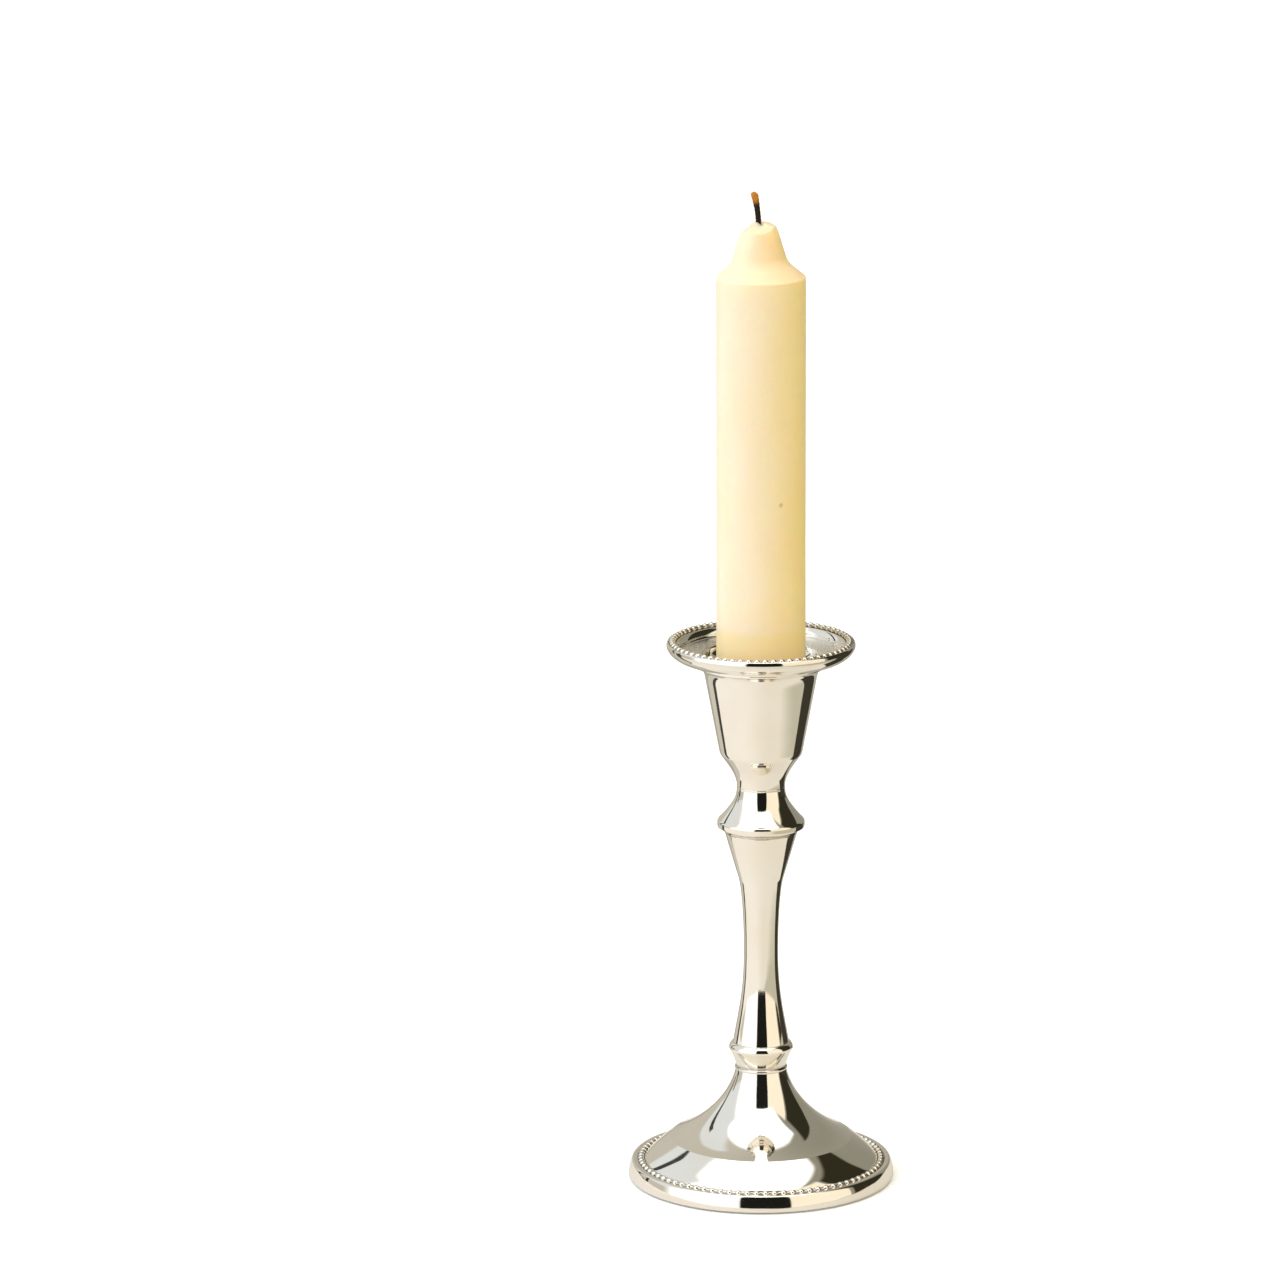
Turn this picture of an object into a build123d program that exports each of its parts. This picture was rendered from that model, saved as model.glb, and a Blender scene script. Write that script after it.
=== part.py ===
"""Silver-plated table candlestick with a lift-off drip pan and a candle.

Millimetres, +Z up, origin at the centre of the felt underside.  Every metal
part is turned about the Z axis.  A steel tie rod clamps foot, stem, knop and
cup together; the drip pan with its sleeve lifts off, and the candle stands in
the sleeve.
"""
from build123d import *
from math import cos, hypot, radians, tan
import os

os.makedirs("parts", exist_ok=True)

# ---------------------------------------------------------------- dimensions
# An outline is a start point (radius, height) and then steps: a list with one
# point is a straight line, a list with more is a Bezier curve to its last one.

felt_radius = 30.7
felt_thickness = 1.3

plate_radius = 31.3
plate_thickness = 1.0
plate_bottom = felt_thickness
dish_radius = 7.2
dish_top = 8.2
dish_slope = 3.0

foot_sheet = 0.9
hem_radius = 30.9
foot_lift = 0.4
flange_radius = 33.3
flange_height = 1.5
skirt_bow = (33.05, 3.1)
skirt_top = (32.62, 4.15)
ledge_height = 4.65
dome_start = (29.2, 4.9)
dome_crease = (22.8, 10.5)
dome_crown = (27.6, 6.95)
trumpet_controls = ((14.75, 13.94), (7.75, 20.9))
trumpet_top = (6.35, 28.2)

foot_bead_count = 84
foot_bead_ring = 30.2
foot_bead_radius = 0.85
foot_bead_wire = 0.5
foot_bead_height = 4.5

filler_gap = 0.3
filler_top = 24.0

collar_bottom = trumpet_top[1]
collar_edge = 8.0
collar_top = 35.2

stem_sheet = 0.95
stem_foot = 7.0
stem_waist = 4.3
stem_break = (5.65, 77.8)
stem_top = (9.1, 89.6)

knop_radius = 10.9
knop_turn = (7.45, 96.6)
neck_radius = 6.0
neck_height = 101.3
spigot_radius = 4.0
spigot_height = 1.8

cup_floor = 109.5
cup_shoulder = (10.0, 109.4)
cup_brim = (13.85, 128.9)
cup_lip = (16.9, 132.95)
seat_gap = 0.05

pan_bottom = cup_lip[1] + seat_gap
pan_mouth = 14.6
pan_floor = (19.6, 135.45)
pan_rim = 23.45
pan_channel = 137.05

pan_bead_count = 68
pan_bead_ring = 22.0
pan_bead_radius = 0.85
pan_bead_wire = 0.52
pan_bead_height = pan_channel + pan_bead_radius

sleeve_bore = 11.28
sleeve_wall = 0.47
sleeve_bottom = 123.6
sleeve_foot = 0.7
sleeve_hole = 8.6

candle_radius = 11.1
candle_bottom = sleeve_bottom + sleeve_foot + seat_gap
candle_shoulder = 229.4
candle_tip = 244.2
wick_radius = 0.9
wick_hole = wick_radius
wick_lean = 2.0
wick_end = 250.6

rod_radius = 2.5
rod_bore = 2.7
rod_bottom = 1.6
rod_top = 114.9
nut_flats = 8.0
nut_height = 3.4
washer_radius = 5.0
washer_thickness = 1.0
spring_radius = 4.6
spring_thickness = 1.2
spring_slit = 0.8


# ------------------------------------------------------------------- helpers
def at(point):
    return Vector(point[0], 0, point[1])


def corners(track):
    """All points of an outline in order, curve controls included."""
    return [track[0]] + [point for step in track[1:] for point in step]


def regroup(points, track):
    """The points laid out again in the steps of the given outline."""
    result = [points[0]]
    used = 1
    for step in track[1:]:
        result.append(points[used:used + len(step)])
        used += len(step)
    return result


def backwards(track):
    points = corners(track)[::-1]
    sizes = [len(step) for step in track[1:]][::-1]
    result = [points[0]]
    used = 1
    for size in sizes:
        result.append(points[used:used + size])
        used += size
    return result


def inset(track, gap):
    """The outline moved sideways by gap, towards the left of its direction."""
    points = corners(track)
    legs = []
    for (r0, z0), (r1, z1) in zip(points, points[1:]):
        length = hypot(r1 - r0, z1 - z0)
        dr = (r1 - r0) / length
        dz = (z1 - z0) / length
        legs.append((dr, dz, -dz * gap, dr * gap))
    moved = [(points[0][0] + legs[0][2], points[0][1] + legs[0][3])]
    for point, before, after in zip(points[1:], legs, legs[1:]):
        turn = before[0] * after[1] - before[1] * after[0]
        if abs(turn) < 0.02:
            shift = (before[2] + after[2]) / 2, (before[3] + after[3]) / 2
        else:
            across = after[2] - before[2]
            along = after[3] - before[3]
            slide = (across * after[1] - along * after[0]) / turn
            shift = before[2] + before[0] * slide, before[3] + before[1] * slide
        moved.append((point[0] + shift[0], point[1] + shift[1]))
    moved.append((points[-1][0] + legs[-1][2], points[-1][1] + legs[-1][3]))
    return regroup(moved, track)


def turned(track):
    """Solid of revolution about Z from a closed outline."""
    edges = []
    here = track[0]
    for step in track[1:] + [[track[0]]]:
        if len(step) > 1:
            edges.append(Edge.make_bezier(at(here), *[at(point) for point in step]))
        elif hypot(step[0][0] - here[0], step[0][1] - here[1]) > 1e-6:
            edges.append(Edge.make_line(at(here), at(step[0])))
        here = step[-1]
    return revolve(Face(Wire(edges)), axis=Axis.Z, revolution_arc=360)


def joined(outside, inside):
    """Closed outline that runs out along one track and back along another."""
    back = backwards(inside)
    return outside + [[back[0]]] + back[1:]


def ring(inner, outer, bottom, top):
    return turned([(inner, bottom), [(outer, bottom)], [(outer, top)], [(inner, top)]])


def hex_nut(bottom, height, bore):
    """Hexagon nut with both faces chamfered at the corners."""
    edge = 0.45
    blank = extrude(RegularPolygon(nut_flats / 2, 6, major_radius=False), height)
    corner = nut_flats / 2 / cos(radians(30))
    barrel = turned([
        (bore, 0), [(corner - edge, 0)], [(corner, edge * 0.6)],
        [(corner, height - edge * 0.6)], [(corner - edge, height)], [(bore, height)],
    ])
    return Pos(0, 0, bottom) * (blank & barrel)


def beaded_wire(ring_radius, height, bead_radius, wire_radius, count):
    """Ring of round beads joined by short necks, all one piece of wire."""
    half_turn = radians(180 / count)
    reach = ring_radius * tan(half_turn) * 1.3
    neck = (bead_radius ** 2 - wire_radius ** 2) ** 0.5

    def across(out, along):
        return Vector(ring_radius + out, along, height)

    outline = Wire([
        Edge.make_line(across(0, -reach), across(wire_radius, -reach)),
        Edge.make_line(across(wire_radius, -reach), across(wire_radius, -neck)),
        Edge.make_three_point_arc(
            across(wire_radius, -neck), across(bead_radius, 0), across(wire_radius, neck)
        ),
        Edge.make_line(across(wire_radius, neck), across(wire_radius, reach)),
        Edge.make_line(across(wire_radius, reach), across(0, reach)),
        Edge.make_line(across(0, reach), across(0, -reach)),
    ])
    middle = Axis((ring_radius, 0, height), (0, 1, 0))
    blank = revolve(Face(outline), axis=middle, revolution_arc=360)
    far = ring_radius * 1.5
    side = far * tan(half_turn)
    sector = Polygon((0, 0), (far, -side), (far, side), align=None)
    wedge = extrude(Pos(0, 0, height - 3) * sector, 6)
    unit = (blank & wedge).solid()
    units = [unit.rotate(Axis.Z, index * 360 / count) for index in range(count)]
    return units[0].fuse(*units[1:])


# --------------------------------------------------------------------- parts
parts = {}

# Foot: felt, steel plate, cast filler and the spun silver shell.
parts["felt_pad"] = turned([
    (0, 0), [(felt_radius - 0.3, 0)], [(felt_radius, 0.3)],
    [(felt_radius, felt_thickness)], [(0, felt_thickness)],
])

plate_under = [
    (plate_radius, plate_bottom), [(dish_radius + dish_slope, plate_bottom)],
    [(dish_radius, dish_top - plate_thickness)], [(rod_bore, dish_top - plate_thickness)],
]
plate_over = [
    (plate_radius, plate_bottom + plate_thickness),
    [(dish_radius + dish_slope + 0.7, plate_bottom + plate_thickness)],
    [(dish_radius + 0.7, dish_top)], [(rod_bore, dish_top)],
]
parts["base_plate"] = turned(joined(plate_under, plate_over))

skirt_run = [
    (hem_radius, foot_lift), [(flange_radius - 0.5, foot_lift)],
    [(flange_radius, foot_lift), (flange_radius, foot_lift + 0.5)],
    [(flange_radius, flange_height)], [skirt_bow, skirt_top],
]
trumpet_run = [
    [dome_crown, dome_crease],
    [trumpet_controls[0], trumpet_controls[1], trumpet_top],
]
channel_floor = foot_bead_height - foot_bead_radius
channel_half = foot_bead_radius + 0.05
foot_outside = skirt_run + [
    [(32.45, ledge_height - 0.1), (32.05, ledge_height)],
    [(foot_bead_ring + channel_half, ledge_height)],
    [(foot_bead_ring + channel_half, channel_floor)],
    [(foot_bead_ring - channel_half, channel_floor)],
    [(foot_bead_ring - channel_half, dome_start[1] - 0.15)], [dome_start],
] + trumpet_run
foot_inner_guide = skirt_run + [
    [(31.7, channel_floor)], [(29.5, channel_floor)], [(28.9, channel_floor + 1.2)],
] + trumpet_run
foot_inside = inset(foot_inner_guide, foot_sheet)
parts["foot_shell"] = turned(joined(foot_outside, foot_inside))

parts["foot_beads"] = beaded_wire(
    foot_bead_ring, foot_bead_height, foot_bead_radius, foot_bead_wire, foot_bead_count
)

filler_skin = inset([dome_start] + trumpet_run, foot_sheet + filler_gap)
filler_under = [
    (rod_bore + 0.2, filler_skin[-1][-1][1]), [(rod_bore + 0.2, dish_top)],
    [(dish_radius + 0.7, dish_top)],
    [(dish_radius + dish_slope + 0.7, plate_bottom + plate_thickness)],
    [(28.3, plate_bottom + plate_thickness)], [(27.6, 4.2)],
    [(26.4, 6.3), filler_skin[1][-1]],
]
filler_block = turned(filler_under + filler_skin[2:])
parts["base_weight"] = filler_block & ring(0, flange_radius, 0, filler_top)

# Stem: collar, hollow stem and knop, threaded on the tie rod.
parts["stem_collar"] = turned([
    (rod_bore, collar_bottom - 2.2), [(5.2, collar_bottom - 2.2)], [(5.2, collar_bottom)],
    [(6.45, collar_bottom)], [(6.75, collar_bottom + 0.35), (6.45, collar_bottom + 0.7)],
    [(6.25, collar_bottom + 0.9)], [(6.95, 31.7), (collar_edge, 33.5)],
    [(collar_edge, 33.95)], [(7.75, 34.8), (stem_foot + 0.1, collar_top)],
    [(rod_bore, collar_top)],
])

stem_outside = [
    (stem_foot, collar_top), [(5.9, 42.0), (4.35, 47.5), (stem_waist, 58.0)],
    [(4.25, 66.5), (4.8, 75.0), stem_break], [stem_top],
]
stem_inside = inset(stem_outside, stem_sheet)
stem_inside[0] = (stem_foot - stem_sheet, collar_top)
stem_inside[-1] = [(stem_top[0] - stem_sheet, stem_top[1])]
parts["stem"] = turned(joined(stem_outside, stem_inside))

parts["knop"] = turned([
    (rod_bore, stem_top[1] - 1.6), [(7.2, stem_top[1] - 1.6)], [(7.5, stem_top[1])],
    [(8.95, stem_top[1])], [(8.95, 90.15)], [(9.6, 90.25), (knop_radius - 0.1, 90.95)],
    [(knop_radius, 91.15), (knop_radius, 91.5)], [(knop_radius, 92.2)],
    [(knop_radius - 0.05, 92.55), (knop_radius - 0.35, 92.85)],
    [(9.5, 93.9), (8.3, 95.4), knop_turn],
    [(6.6, 97.8), (neck_radius, 99.2), (neck_radius, neck_height)],
    [(spigot_radius, neck_height)], [(spigot_radius, neck_height + spigot_height)],
    [(rod_bore, neck_height + spigot_height)],
])

# Cup: thick base bored for the rod, thin tapered wall, flared lip.
pocket_top = neck_height + spigot_height + 0.1
parts["candle_cup"] = turned([
    (rod_bore, pocket_top), [(spigot_radius + 0.1, pocket_top)],
    [(spigot_radius + 0.1, neck_height)], [(neck_radius, neck_height)],
    [(6.0, 104.3), (8.6, 107.4), cup_shoulder], [(10.3, 109.9), (10.45, 110.8)],
    [cup_brim], [(14.3, 131.4), (15.0, 132.1), (cup_lip[0] - 0.2, 132.45)],
    [(cup_lip[0] + 0.05, 132.6), cup_lip], [(15.6, cup_lip[1])],
    [(13.9, 132.2), (cup_brim[0] - 0.75, cup_brim[1])], [(9.75, 111.4)],
    [(9.6, cup_floor), (8.5, cup_floor)], [(rod_bore, cup_floor)],
])

# Tie rod and its fastenings.
rod = turned([
    (0, rod_bottom), [(rod_radius - 0.5, rod_bottom)], [(rod_radius, rod_bottom + 0.5)],
    [(rod_radius, rod_top - 0.5)], [(rod_radius - 0.5, rod_top)], [(0, rod_top)],
])
parts["tie_rod"] = rod
dish_under = dish_top - plate_thickness
parts["rod_washer"] = ring(rod_bore, washer_radius, dish_under - washer_thickness, dish_under)
spring_top = dish_under - washer_thickness
slit = Pos(spring_radius, 0, spring_top) * Box(2 * spring_radius, spring_slit, 2 * spring_thickness)
split_ring = ring(rod_bore, spring_radius, spring_top - spring_thickness, spring_top)
parts["spring_washer"] = split_ring - slit
nut_top = spring_top - spring_thickness
parts["rod_nut"] = hex_nut(nut_top - nut_height, nut_height, rod_radius)
parts["cup_washer"] = ring(rod_bore, washer_radius, cup_floor, cup_floor + washer_thickness)
parts["cup_nut"] = hex_nut(cup_floor + washer_thickness, nut_height, rod_radius)

# Nozzle: cast pan with a beaded rim, and the sleeve that holds the candle.
bead_half = pan_bead_radius + 0.05
parts["drip_pan"] = turned([
    (pan_mouth, pan_bottom - 0.25), [(pan_mouth + 0.15, pan_bottom - 0.25)],
    [(15.3, pan_bottom)], [(cup_lip[0] + 0.2, pan_bottom)], [(20.7, 134.15)],
    [(22.45, 135.0), (23.1, 136.2)], [(pan_rim, 136.7), (pan_rim, 137.2)],
    [(pan_rim, 138.0), (pan_bead_ring + bead_half + 0.15, 138.2)],
    [(pan_bead_ring + bead_half, 138.0)], [(pan_bead_ring + bead_half, pan_channel)],
    [(pan_bead_ring - bead_half, pan_channel)], [(pan_bead_ring - bead_half, 137.6)],
    [(20.95, 137.7), (20.7, 137.3)], [(20.4, 136.25), (20.1, 136.15)],
    [(19.95, 136.15), (19.85, 135.9)], [(19.8, 135.55), pan_floor],
    [(17.0, 135.1), (pan_mouth, 134.95)],
])

parts["pan_beads"] = beaded_wire(
    pan_bead_ring, pan_bead_height, pan_bead_radius, pan_bead_wire, pan_bead_count
)

sleeve_outer = sleeve_bore + sleeve_wall
parts["nozzle_sleeve"] = turned([
    (sleeve_hole, sleeve_bottom), [(sleeve_outer - 0.55, sleeve_bottom)],
    [(sleeve_outer, sleeve_bottom), (sleeve_outer, sleeve_bottom + 0.6)],
    [(sleeve_outer, 129.6)], [(sleeve_outer, 131.6), (14.0, 131.8), (pan_mouth, 133.05)],
    [(pan_mouth, 134.95)], [(pan_mouth - 0.1, 135.25), (14.2, 135.25)],
    [(13.85, 135.25), (13.7, 134.8)], [(13.4, 132.6), (sleeve_bore, 132.3), (sleeve_bore, 129.8)],
    [(sleeve_bore, sleeve_bottom + sleeve_foot)], [(sleeve_hole, sleeve_bottom + sleeve_foot)],
])

# Candle: wax with a burnt-down shoulder and tip, and the wick.
parts["candle_wax"] = turned([
    (wick_hole, candle_bottom), [(candle_radius - 0.4, candle_bottom)],
    [(candle_radius, candle_bottom + 0.4)], [(candle_radius, candle_shoulder)],
    [(candle_radius, 230.9), (9.1, 231.5)], [(7.5, 232.6), (7.05, 234.6)],
    [(6.1, 237.4), (4.65, 240.5)], [(3.9, 242.1), (2.6, 243.2)],
    [(1.7, candle_tip), (wick_hole, candle_tip)],
])

wick_foot = Vector(0, 0, candle_bottom + 1.0)
wick_exit = Vector(0, 0, candle_tip)
wick_path = Wire([
    Edge.make_line(wick_foot, wick_exit),
    Edge.make_bezier(
        wick_exit, wick_exit + Vector(0, 0, 2.6),
        Vector(-0.5, 0.1, wick_end - 1.6), Vector(-wick_lean, 0.3, wick_end)
    ),
])
wick_section = Plane(origin=wick_foot, z_dir=(0, 0, 1)) * Circle(wick_radius)
parts["candle_wick"] = sweep(wick_section, path=wick_path)

for name, solid in parts.items():
    export_step(solid, f"parts/{name}.step")
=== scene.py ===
"""Looks of the silver candlestick: fine turned meshes, materials, light and camera.

Metres, +Z up, the same frame as the CAD.  Outlines repeat the millimetre
dimensions of part.py.  An outline is a start point (radius, height) and then
steps: a list with one point is a straight line, a list with more is a Bezier
curve to its last one.
"""
import math
import random

import bmesh
import bpy
from mathutils import Matrix, Vector, noise


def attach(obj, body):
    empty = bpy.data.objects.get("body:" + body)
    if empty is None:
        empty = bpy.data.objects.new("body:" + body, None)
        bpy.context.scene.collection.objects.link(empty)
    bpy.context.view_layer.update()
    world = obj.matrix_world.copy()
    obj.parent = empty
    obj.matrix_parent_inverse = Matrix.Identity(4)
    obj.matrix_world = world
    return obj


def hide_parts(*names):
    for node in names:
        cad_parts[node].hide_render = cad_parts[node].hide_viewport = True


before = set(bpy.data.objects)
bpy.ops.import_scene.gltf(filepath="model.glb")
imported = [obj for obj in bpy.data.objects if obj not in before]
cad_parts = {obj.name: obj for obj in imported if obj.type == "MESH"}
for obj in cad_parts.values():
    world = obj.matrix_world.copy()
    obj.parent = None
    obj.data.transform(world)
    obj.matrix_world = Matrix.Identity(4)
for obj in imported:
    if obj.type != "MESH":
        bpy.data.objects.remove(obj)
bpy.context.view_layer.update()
MM = 0.001
scene = bpy.context.scene

# ------------------------------------------------------------------- camera
CAMERA_DISTANCE = 1.700      # from the turning axis, along the floor
CAMERA_HEIGHT = 0.540
CAMERA_PITCH = 13.29         # degrees below the horizon
CAMERA_SWING = 0.983         # degrees, the object stands right of centre
LENS = 198.34                # millimetres on a 36 mm sensor

camera = bpy.data.objects.new("camera", bpy.data.cameras.new("camera"))
camera.data.sensor_width = 36.0
camera.data.lens = LENS
camera.data.clip_start = 0.05
camera.data.clip_end = 60.0
tilt = Matrix.Rotation(math.radians(90.0 - CAMERA_PITCH), 4, "X")
swing = Matrix.Rotation(math.radians(CAMERA_SWING), 4, "Y")
camera.matrix_world = Matrix.Translation((0, -CAMERA_DISTANCE, CAMERA_HEIGHT)) @ tilt @ swing
scene.collection.objects.link(camera)
scene.camera = camera
scene.view_settings.view_transform = "Standard"
scene.view_settings.look = "None"


# ------------------------------------------------------------ outline helpers
IN_LINE = 0.02             # sine of a turn so small that both legs make one line
SMOOTH_TURN = 0.14         # radians; a smaller turn between steps stays a smooth one
WIDEST_TURN = 2.6          # radians; a sharper corner is eased like this one
CORNER_ROOM = 0.42         # the most of a step's length that easing takes
CORNER_STEPS = 6
CURVE_SAMPLES = (8, 28)    # fewest and most steps along one curve
HOLLOW_TURN = 0.35         # radians; a sharper inner corner gathers tarnish
HOLLOW_REACH = 0.45        # millimetres from the corner in which it fades
TOUCHING = 1e-6            # millimetres; points this close are one, or lie on the axis
SAMPLE_GAP = 1e-5          # millimetres; samples closer than this become one


def corners(track):
    """All points of an outline in order, curve controls included."""
    return [track[0]] + [point for step in track[1:] for point in step]


def regrouped(points, sizes):
    """The points laid out in steps of the given sizes."""
    track = [points[0]]
    used = 1
    for size in sizes:
        track.append(points[used:used + size])
        used += size
    return track


def backwards(track):
    """The same outline, run from its end to its start."""
    return regrouped(corners(track)[::-1], [len(step) for step in track[1:]][::-1])


def inset(track, gap):
    """The outline moved sideways by gap, towards the left of its direction."""
    points = corners(track)
    legs = []
    for (r0, z0), (r1, z1) in zip(points, points[1:]):
        length = math.hypot(r1 - r0, z1 - z0)
        dr, dz = (r1 - r0) / length, (z1 - z0) / length
        legs.append((dr, dz, -dz * gap, dr * gap))
    moved = [(points[0][0] + legs[0][2], points[0][1] + legs[0][3])]
    for point, before, after in zip(points[1:], legs, legs[1:]):
        turn = before[0] * after[1] - before[1] * after[0]
        if abs(turn) < IN_LINE:
            shift = (before[2] + after[2]) / 2, (before[3] + after[3]) / 2
        else:
            across, along = after[2] - before[2], after[3] - before[3]
            slide = (across * after[1] - along * after[0]) / turn
            shift = before[2] + before[0] * slide, before[3] + before[1] * slide
        moved.append((point[0] + shift[0], point[1] + shift[1]))
    moved.append((points[-1][0] + legs[-1][2], points[-1][1] + legs[-1][3]))
    return regrouped(moved, [len(step) for step in track[1:]])


def joined(outside, inside):
    """Closed outline that runs out along one track and back along another."""
    back = backwards(inside)
    return outside + [[back[0]]] + back[1:]


def unit(dr, dz):
    """The direction with its length made 1."""
    length = math.hypot(dr, dz) or 1.0
    return dr / length, dz / length


def bezier(points, t):
    """Point and direction of a Bezier curve at t."""
    level = list(points)
    while len(level) > 2:
        level = [((1 - t) * a[0] + t * b[0], (1 - t) * a[1] + t * b[1])
                 for a, b in zip(level, level[1:])]
    (r0, z0), (r1, z1) = level
    return ((1 - t) * r0 + t * r1, (1 - t) * z0 + t * z1), unit(r1 - r0, z1 - z0)


def run_samples(here, step, fineness):
    """One step as a list of (point, direction)."""
    if len(step) == 1:
        way = unit(step[0][0] - here[0], step[0][1] - here[1])
        return [(here, way), (step[0], way)]
    span = sum(math.dist(a, b) for a, b in zip([here] + step, step))
    fewest, most = CURVE_SAMPLES
    count = max(fewest, min(most, int(span * fineness)))
    return [bezier([here] + step, index / count) for index in range(count + 1)]


def trimmed(run, cut, from_end):
    """A run of samples with the given length cut off one end."""
    run = run[::-1] if from_end else run
    while len(run) > 2 and math.dist(run[0][0], run[1][0]) <= cut:
        cut -= math.dist(run[0][0], run[1][0])
        run = run[1:]
    (a, way_a), (b, way_b) = run[0], run[1]
    t = cut / (math.dist(a, b) or 1.0)
    point = (a[0] + (b[0] - a[0]) * t, a[1] + (b[1] - a[1]) * t)
    way = unit(way_a[0] + (way_b[0] - way_a[0]) * t, way_a[1] + (way_b[1] - way_a[1]) * t)
    run = [(point, way)] + run[1:]
    return run[::-1] if from_end else run


def outline_runs(track, fineness):
    """The steps of a closed outline, each as a list of (point, direction)."""
    runs = []
    here = track[0]
    for step in track[1:] + [[track[0]]]:
        if len(step) > 1 or math.dist(here, step[0]) > TOUCHING:
            runs.append(run_samples(here, step, fineness))
        here = step[-1]
    return runs


def signed_area(runs):
    """Twice the area inside the outline, positive when it runs anticlockwise."""
    points = [sample[0] for run in runs for sample in run]
    area = 0.0
    for a, b in zip(points, points[1:] + points[:1]):
        area += a[0] * b[1] - b[0] * a[1]
    return area


def corner_bends(runs, ease):
    """At the end of each run: the turn, and the length that easing cuts off."""
    lengths = [sum(math.dist(a[0], b[0]) for a, b in zip(run, run[1:])) for run in runs]
    bends = []
    for index, run in enumerate(runs):
        following = (index + 1) % len(runs)
        end, start = run[-1][1], runs[following][0][1]
        cross = end[0] * start[1] - end[1] * start[0]
        turn = math.atan2(cross, end[0] * start[0] + end[1] * start[1])
        on_axis = run[-1][0][0] < TOUCHING
        room = CORNER_ROOM * min(lengths[index], lengths[following])
        cut = min(ease * math.tan(min(abs(turn), WIDEST_TURN) / 2), room)
        bends.append((turn, 0.0 if abs(turn) < SMOOTH_TURN or on_axis else cut))
    return bends


def hollow_depth(point, hollows):
    """How deep in an inner corner the point lies, from 0 to 1."""
    depth = 0.0
    for corner, weight in hollows:
        fade = math.exp(-(math.dist(point, corner) / HOLLOW_REACH) ** 2)
        depth = max(depth, weight * fade)
    return depth


def smooth_outline(track, ease, fineness):
    """Closed outline as (point, direction, hollow) with its corners eased.

    hollow is 1 in a concave corner and falls off over a fraction of a
    millimetre, so that dirt and tarnish can gather there.
    """
    runs = outline_runs(track, fineness)
    area = signed_area(runs)
    bends = corner_bends(runs, ease)
    for index, run in enumerate(runs):
        if bends[index - 1][1]:
            run = trimmed(run, bends[index - 1][1], False)
        if bends[index][1]:
            run = trimmed(run, bends[index][1], True)
        runs[index] = run
    samples, hollows = [], []
    for index, run in enumerate(runs):
        turn, cut = bends[index]
        following = runs[(index + 1) % len(runs)]
        if cut:
            a, b = run[-1], following[0]
            corner = (a[0][0] + a[1][0] * cut, a[0][1] + a[1][1] * cut)
            samples.extend(run)
            samples.extend(bezier([a[0], corner, b[0]], step / CORNER_STEPS)
                           for step in range(1, CORNER_STEPS))
            if turn * area < 0 and abs(turn) > HOLLOW_TURN:
                hollows.append((corner, min(1.0, abs(turn))))
        elif abs(turn) < SMOOTH_TURN:
            end, start = run[-1][1], following[0][1]
            mean = unit(end[0] + start[0], end[1] + start[1])
            samples.extend(run[:-1] + [(run[-1][0], mean)])
            following[0] = (following[0][0], mean)
        else:
            samples.extend(run)
    clean = []
    for point, way in samples:
        if not clean or math.dist(point, clean[-1][0]) > SAMPLE_GAP:
            clean.append((point, way))
    if math.dist(clean[0][0], clean[-1][0]) < SAMPLE_GAP:
        clean.pop()
    if area < 0:
        clean = [(point, (-way[0], -way[1])) for point, way in clean[::-1]]
    return [(point, way, hollow_depth(point, hollows)) for point, way in clean]


# --------------------------------------------------------------- mesh helpers
AXIS_GAP = 1e-7            # metres; points this close to the axis are joined there


def place(name, mesh, body, material, slot, *nodes):
    """A visible piece that rides on a body and replaces the named CAD nodes."""
    piece = bpy.data.objects.new(name, mesh)
    scene.collection.objects.link(piece)
    mesh.materials.append(material)
    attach(piece, body)
    if nodes:
        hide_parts(*nodes)
    return piece


def ring_mesh(name, rings, closed, normals=None, hollow=None):
    """Mesh from rings of points; closed joins the last ring to the first."""
    mesh = bpy.data.meshes.new(name)
    around = len(rings[0])
    verts = [point for ring in rings for point in ring]
    faces = []
    for index in range(len(rings) if closed else len(rings) - 1):
        low, high = index * around, (index + 1) % len(rings) * around
        for j in range(around):
            k = (j + 1) % around
            faces.append((low + j, low + k, high + k, high + j))
    mesh.from_pydata(verts, [], faces)
    mesh.polygons.foreach_set("use_smooth", [True] * len(mesh.polygons))
    if hollow is not None:
        store = mesh.attributes.new("hollow", "FLOAT", "POINT")
        store.data.foreach_set("value", hollow)
    mesh.update()
    if normals is not None:
        mesh.normals_split_custom_set_from_vertices(normals)
    return mesh


def close_ends(mesh):
    """Fill the two open ends of a tube of rings."""
    bm = bmesh.new()
    bm.from_mesh(mesh)
    bmesh.ops.holes_fill(bm, edges=[e for e in bm.edges if e.is_boundary], sides=0)
    bmesh.ops.recalc_face_normals(bm, faces=bm.faces)
    bm.to_mesh(mesh)
    bm.free()


def lathe(name, track, segments=320, ease=0.12, fineness=6.0, shape=None):
    """Turned mesh of a closed outline, with exact normals on the curves.

    Corners are eased by the given radius, fineness is in samples for each
    millimetre of curve, and shape, if given, moves each point.
    """
    rings, normals, hollow = [], [], []
    for (radius, height), (dr, dz), depth in smooth_outline(track, ease, fineness):
        ring = []
        for index in range(segments):
            angle = 2 * math.pi * index / segments
            c, s = math.cos(angle), math.sin(angle)
            point = Vector((radius * c, radius * s, height))
            if shape:
                point = shape(point)
            ring.append(point * MM)
            normals.append((dz * c, dz * s, -dr))
            hollow.append(depth)
        rings.append(ring)
    mesh = ring_mesh(name, rings, True, None if shape else normals, hollow)
    bm = bmesh.new()
    bm.from_mesh(mesh)
    on_axis = [v for v in bm.verts if math.hypot(v.co.x, v.co.y) < AXIS_GAP]
    if on_axis:
        bmesh.ops.remove_doubles(bm, verts=on_axis, dist=AXIS_GAP)
        bm.to_mesh(mesh)
    bm.free()
    return mesh


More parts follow.
